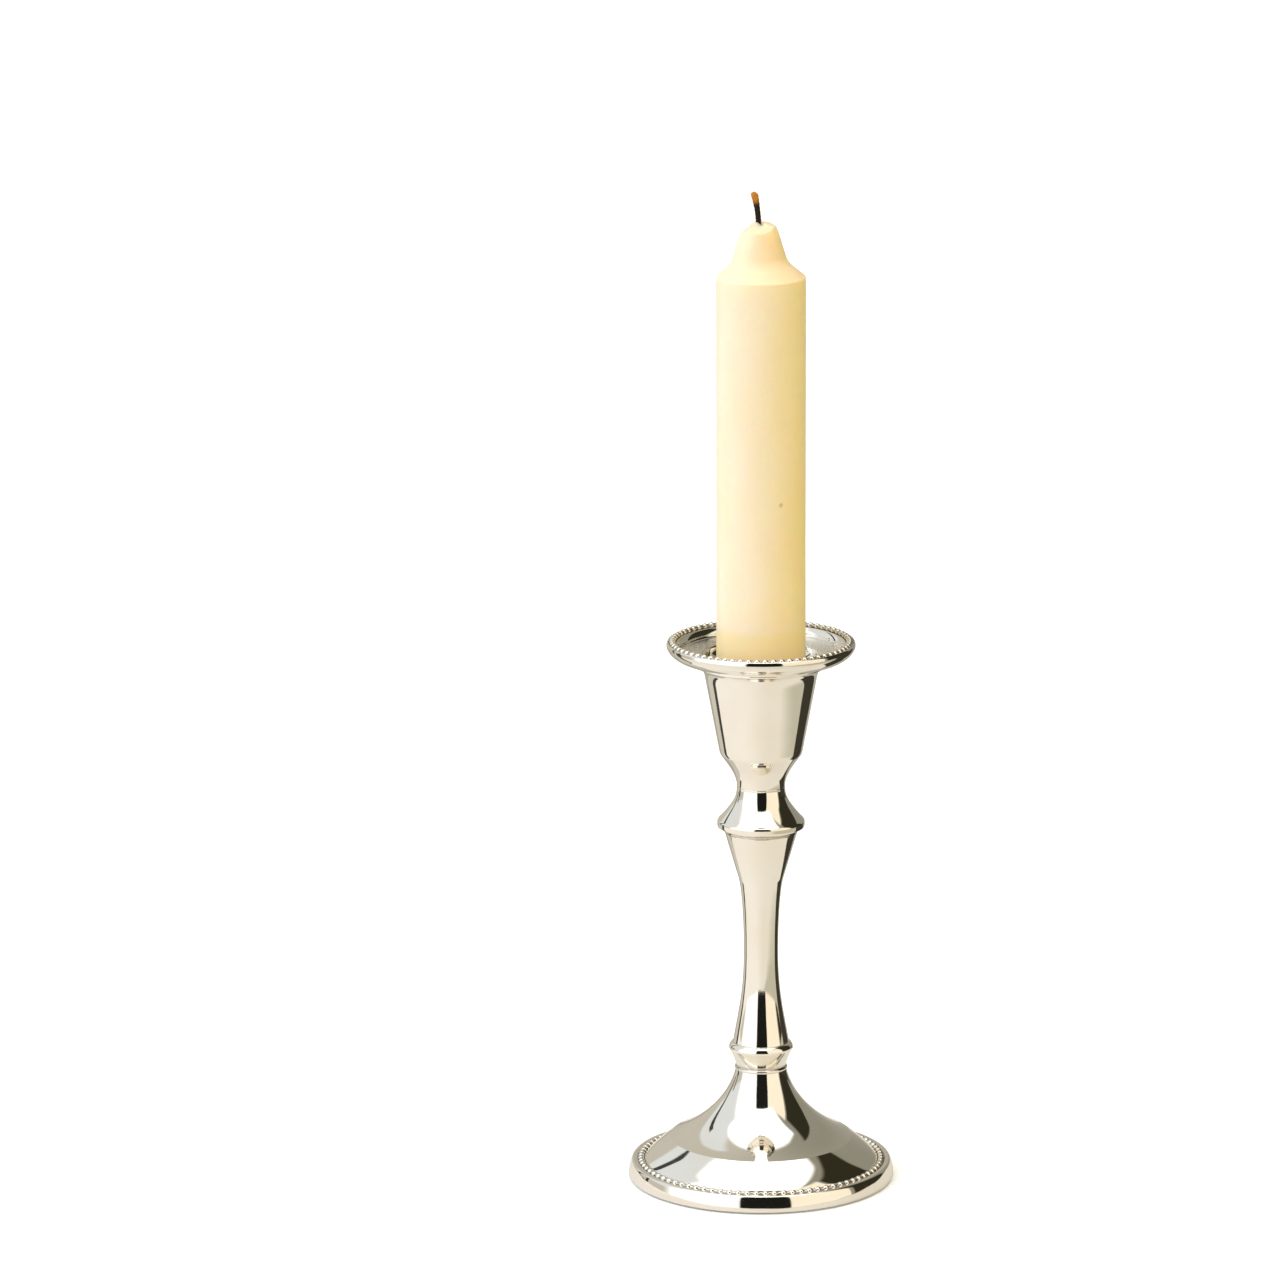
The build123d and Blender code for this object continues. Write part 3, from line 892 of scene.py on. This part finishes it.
# ------------------------------------------------------- felt, rod and inside
def matted(point):
    """Felt pressed a little unevenly on the side that faces the table."""
    x, y, z = point
    if z < FELT_PRESSED:
        z += 0.05 + 0.05 * noise.noise(Vector((x * 0.9, y * 0.9, 0.3)))
    return Vector((x, y, z))


felt_track = [(0.0, 0.0)] + [[(radius, 0.0)] for radius in range(2, 31, 2)]
felt_track += [
    [(FELT_RADIUS - FELT_BEVEL, 0.0)], [(FELT_RADIUS, FELT_BEVEL)],
    [(FELT_RADIUS, FELT_THICKNESS)], [(0.0, FELT_THICKNESS)],
]
felt_mesh = lathe("felt_disc", felt_track, segments=240, ease=0.1, shape=matted)
place("felt_disc", felt_mesh, "stand", green_felt, "felt", "felt_pad")


def threaded_rod(name):
    """Rolled M5 thread: the height of the flank follows the angle along the helix."""
    pitch, outer, root = 0.8, 2.48, 2.05
    low, high = 1.65, 114.85
    run_out, flank = 0.6, 2.4
    around, per_pitch = 24, 6
    rings = []
    count = int((high - low) / pitch * per_pitch)
    for index in range(count + 1):
        height = low + (high - low) * index / count
        fade = max(0.0, min(1.0, (height - low) / run_out, (high - height) / run_out))
        ring = []
        for j in range(around):
            turn = 2 * math.pi * j / around
            phase = (height / pitch - turn / (2 * math.pi)) % 1.0
            valley = 1.0 - min(1.0, abs(phase - 0.5) * flank)
            radius = root + (outer - root) * (1.0 - valley) * fade
            ring.append(Vector((radius * math.cos(turn), radius * math.sin(turn), height)) * MM)
        rings.append(ring)
    mesh = ring_mesh(name, rings, False)
    close_ends(mesh)
    return mesh


place("threaded_rod", threaded_rod("threaded_rod"), "stand", zinc, "steel", "tie_rod")

# These CAD nodes are shown as they are, each with a material from this script.
carried = {
    "base_plate": zinc, "base_weight": filler, "rod_washer": zinc, "spring_washer": dark_steel,
    "rod_nut": zinc, "cup_washer": zinc, "cup_nut": zinc,
}
for node, material in carried.items():
    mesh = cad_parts[node].data
    mesh.materials.clear()
    mesh.materials.append(material)

# ---------------------------------------------------------------- the stage
FLOOR_REACH = 9.0
FLOOR_DROP = 0.00002                 # keeps the floor off the felt's underside
WHITE_FLOOR = (0.910, 0.920, 0.945, 1.0)
WHITE_FLOOR_SOFT = (0.890, 0.900, 0.925, 1.0)


def floor_material():
    n = Nodes("floor")
    soft = n.noise(n.position(), 1.3, 2.0)
    n.set("Base Color", n.mix(soft, WHITE_FLOOR, WHITE_FLOOR_SOFT))
    n.set("Roughness", 0.8)
    n.set("Specular IOR Level", 0.15)
    n.set("Emission Color", (1.0, 1.0, 1.0, 1.0))
    n.set("Emission Strength", 0.18)
    return n.material


floor_mesh = bpy.data.meshes.new("floor")
floor_mesh.from_pydata(
    [(x * FLOOR_REACH, y * FLOOR_REACH, 0) for x, y in ((-1, -1), (1, -1), (1, 1), (-1, 1))],
    [], [(0, 1, 2, 3)])
floor_mesh.materials.append(floor_material())
floor = bpy.data.objects.new("floor", floor_mesh)
floor.location.z = -FLOOR_DROP
# It isn't mirrored and throws no light back, the cards below stand in for it.
floor.visible_glossy = False
floor.visible_diffuse = False
scene.collection.objects.link(floor)

# What the silver reflects from below: cards lying on the floor, which only
# reflections see.  A cream table top with a shaded right side, its back, and
# the dark room past its edges.  Angles are degrees round the object from the
# camera's side, positive to the right; lengths are metres.
TABLE_REACH = 0.62
TABLE_CORNER = 5                     # degrees between the points of its round edge
TABLE_LIFT = 0.00005                 # the cards lie over each other in this order
BACK_LIFT = 0.0002
ROOM_LIFT = 0.0004
ROOM_REACH = 8.0
TABLE_MILD = (-0.15, 0.08)           # x where the light falls off, first a little
TABLE_SHADED = (0.13, 0.24)          # and then into the shade
SECTOR_STEPS = 8


def mirror_card(name, verts, faces, n):
    """Matt sheet with the material of n that only reflections see."""
    n.set("Roughness", 1.0)
    n.set("Specular IOR Level", 0.0)
    mesh = bpy.data.meshes.new(name)
    mesh.from_pydata(verts, [], faces)
    mesh.materials.append(n.material)
    card = bpy.data.objects.new(name, mesh)
    scene.collection.objects.link(card)
    card.visible_camera = False
    card.visible_diffuse = False
    card.visible_shadow = False
    card.visible_transmission = False


def sector_card(name, first, last, near, far, lift, shade):
    """Sector of a ring round the object, in one colour."""
    verts = []
    for index in range(SECTOR_STEPS + 1):
        angle = math.radians(first + (last - first) * index / SECTOR_STEPS)
        out = Vector((math.sin(angle), -math.cos(angle), 0))
        verts += [out * near + Vector((0, 0, lift)), out * far + Vector((0, 0, lift))]
    faces = [(a, a + 1, a + 3, a + 2) for a in range(0, 2 * SECTOR_STEPS, 2)]
    n = Nodes(name)
    n.set("Base Color", shade)
    mirror_card(name, verts, faces, n)


def table_card(name, bright, mild, shaded):
    """Round table top, bright on the left and shaded on the right."""
    turns = [math.radians(degrees) for degrees in range(0, 360, TABLE_CORNER)]
    verts = [(0, 0, TABLE_LIFT)]
    verts += [(TABLE_REACH * math.cos(a), TABLE_REACH * math.sin(a), TABLE_LIFT) for a in turns]
    count = len(turns)
    faces = [(0, 1 + i, 1 + (i + 1) % count) for i in range(count)]
    n = Nodes(name)
    across = n.axes(n.position())[0]
    middle = n.mix(n.spread(across, *TABLE_MILD), bright, mild)
    n.set("Base Color", n.mix(n.spread(across, *TABLE_SHADED), middle, shaded))
    mirror_card(name, verts, faces, n)


table_card("table_top", (0.76, 0.735, 0.735, 1), (0.67, 0.64, 0.61, 1), (0.43, 0.415, 0.35, 1))
sector_card("card_back", 146, 214, 0.10, TABLE_REACH, BACK_LIFT, (0.345, 0.335, 0.305, 1))
sector_card("card_pale", 214, 238, 0.10, TABLE_REACH, BACK_LIFT, (0.49, 0.47, 0.455, 1))
sector_card("card_right", 104, 146, 0.13, ROOM_REACH, ROOM_LIFT, (0.035, 0.032, 0.025, 1))
sector_card("card_left", -123, -112, 0.15, ROOM_REACH, ROOM_LIFT, (0.05, 0.05, 0.045, 1))

# ------------------------------------------------------------- studio light
# Grey room, lighter on the left, and bands in it: grey wall behind on the left,
# white panel on the left, cream panel on the right, the dark gap between them
# where the camera stands, dark room behind on the right, and two thin dark
# lines on the left that stand in for the neighbouring candlestick.
# A band is (first, last azimuth, lowest, highest elevation, edge, colour).
ROOM_LEFT = (0.57, 0.54, 0.47, 1.0)
ROOM_RIGHT = (0.29, 0.28, 0.23, 1.0)
ROOM_CHANGE = (-0.4, 0.5)            # x of the direction between which it darkens
BANDS = [
    (-144, -80, 10, 62, 3.0, (0.76, 0.79, 0.80, 1.0)),
    (-88, -18, -80, 84, 14.0, (1.30, 1.33, 1.36, 1.0)),
    (26, 84, -80, 56, 2.0, (1.06, 0.95, 0.76, 1.0)),
    (-18, 26, -80, 57, 1.5, (0.012, 0.012, 0.010, 1.0)),
    (88, 131, -30, 54, 2.0, (0.030, 0.028, 0.016, 1.0)),
    (-119, -115, -30, 14, 1.0, (0.030, 0.030, 0.028, 1.0)),
    (-135, -130, -30, 40, 1.0, (0.050, 0.050, 0.045, 1.0)),
]
OVERHEAD = (1.75, 1.74, 1.72, 1.0)   # softbox above, tilted towards the camera
OVERHEAD_FRONT = 57                  # degrees up from the front horizon
OVERHEAD_BACK = 102
OVERHEAD_RIGHT = 29                  # degrees of lean to the right of the zenith
OVERHEAD_EDGES = (1.5, 3, 2)         # softness of those three edges, in degrees
OVERHEAD_FOOT = (50, 58)             # elevations between which it fades in

# Matt surfaces, such as the wax and the floor, get more light than the silver
# shows, most of it from the camera's side, and golden light from the right.
GOLDEN_SIDE = (0.96, 0.90, 0.20, 1.0)
GOLDEN_FROM = (0.35, 0.90)           # x of the direction between which it grows
MATT_EXTRA = 0.38
MATT_EXTRA_FRONT = 1.15

world = bpy.data.worlds.new("studio")
scene.world = world
world.use_nodes = True
sky = Tree(world.node_tree)


def not_past(value, high, edge):
    """1 below high, falling softly to 0 over an edge on each side of it."""
    return sky.math("SUBTRACT", 1.0, sky.spread(value, high - edge, high + edge))


def between(value, low, high, low_edge, high_edge):
    """1 from low to high, with a soft edge at both."""
    rise = sky.spread(value, low - low_edge, low + low_edge)
    return sky.math("MULTIPLY", rise, not_past(value, high, high_edge))


def degrees_of(opposite, adjacent):
    return sky.math("MULTIPLY", sky.math("ARCTAN2", opposite, adjacent), math.degrees(1))


rightward, backward, upward = sky.axes(sky.make("ShaderNodeTexCoord").outputs["Generated"])
forward = sky.math("MULTIPLY", backward, -1.0)
azimuth = degrees_of(rightward, forward)
elevation = sky.math("MULTIPLY", sky.math("ARCSINE", upward), math.degrees(1))
light = sky.mix(sky.spread(rightward, *ROOM_CHANGE), ROOM_LEFT, ROOM_RIGHT)
for first, last, low, high, edge, colour in BANDS:
    share = sky.math("MULTIPLY", between(elevation, low, high, edge, edge),
                     between(azimuth, first, last, edge / 2, edge / 2))
    light = sky.mix(share, light, colour)

front_edge, back_edge, right_edge = OVERHEAD_EDGES
over = degrees_of(upward, forward)
lean = degrees_of(rightward, upward)
share = between(over, OVERHEAD_FRONT, OVERHEAD_BACK, front_edge, back_edge)
share = sky.math("MULTIPLY", share, sky.spread(elevation, *OVERHEAD_FOOT))
share = sky.math("MULTIPLY", share, not_past(lean, OVERHEAD_RIGHT, right_edge))
light = sky.mix(share, light, OVERHEAD)

matt = sky.make("ShaderNodeLightPath").outputs["Is Diffuse Ray"]
golden = sky.math("MULTIPLY", matt, sky.spread(rightward, *GOLDEN_FROM))
from_front = sky.math("MAXIMUM", sky.math("MULTIPLY", backward, -MATT_EXTRA_FRONT), 0.0)
extra = sky.math("MULTIPLY", matt, sky.math("ADD", from_front, MATT_EXTRA))
background = sky.tree.nodes["Background"]
sky.link(sky.mix(golden, light, GOLDEN_SIDE, "MULTIPLY"), background.inputs["Color"])
sky.link(sky.math("ADD", 1.0, extra), background.inputs["Strength"])
